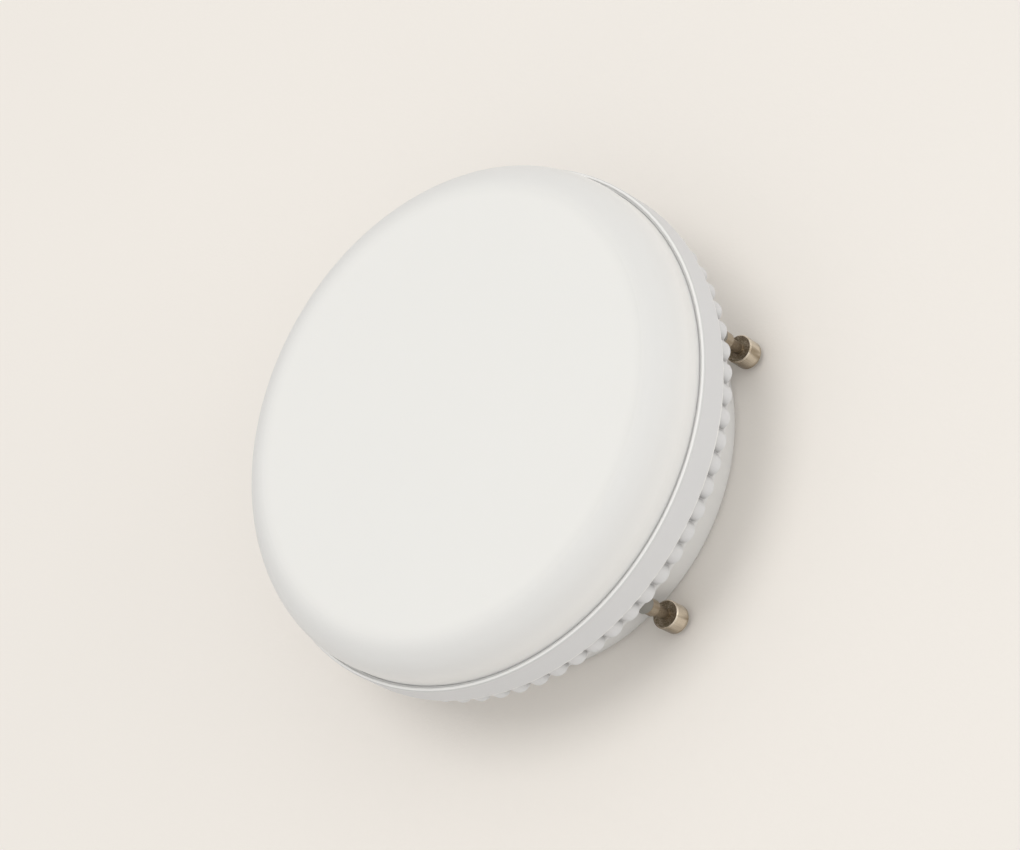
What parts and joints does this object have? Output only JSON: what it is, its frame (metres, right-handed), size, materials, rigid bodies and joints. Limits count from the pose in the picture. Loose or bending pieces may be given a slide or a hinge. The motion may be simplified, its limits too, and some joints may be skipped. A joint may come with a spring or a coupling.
{
  "type": "led disc lamp",
  "caption": "Round flat LED lamp with an opal face, a white moulded housing with a fluted skirt and boss, and two headed contact pins for a shallow twist-in lamp holder.",
  "frame": {"origin": "centre of the flat boss end that the lamp stands on", "axes": "+Z along the lamp's axis from the boss to the light face, +X midway between the two contact pins"},
  "size_m": [0.075, 0.075, 0.0259],
  "materials": {
    "white_moulding": "satin moulded",
    "opal_diffuser": "satin translucent opal",
    "heat_plate": "rolled sheet",
    "insulating_film": "matte film",
    "white_board": "white solder mask",
    "led_phosphor": "matte",
    "screw_steel": "zinc plated",
    "green_board": "satin solder mask",
    "can_sleeve": "satin sleeve",
    "ferrite": "matte",
    "copper_winding": "enamelled wire",
    "film_box": "satin",
    "black_package": "matte",
    "small_chips": "matte",
    "varistor_coat": "satin dipped",
    "fuse_body": "satin",
    "tinned_brass": "tinned",
    "nickel_pin": "turned, nickel plated",
    "grey_bush": "matte moulded",
    "solder": "satin",
    "lead_sleeve": "matte sleeve"
  },
  "bodies": {
    "root": {"housing": "white_moulding", "diffuser": "opal_diffuser", "heat_spreader": "heat_plate", "insulating_disc": "insulating_film", "led_board": "white_board", "led_chips": "led_phosphor", "board_screws": "screw_steel", "driver_board": "green_board", "driver_screws": "screw_steel", "input_capacitor": "can_sleeve", "output_capacitor": "can_sleeve", "inductor_core": "ferrite", "inductor_winding": "copper_winding", "film_capacitor": "film_box", "bridge_rectifier": "black_package", "driver_chip": "black_package", "chip_parts": "small_chips", "varistor": "varistor_coat", "fuse_resistor": "fuse_body", "led_terminal_posts": "tinned_brass", "contact_pin_a": "nickel_pin", "contact_pin_b": "nickel_pin", "pin_bush_a": "grey_bush", "pin_bush_b": "grey_bush", "pin_washers": "screw_steel", "solder_joints": "solder", "lead_wire_a": "lead_sleeve", "lead_wire_b": "lead_sleeve"}
  },
  "joints": []
}
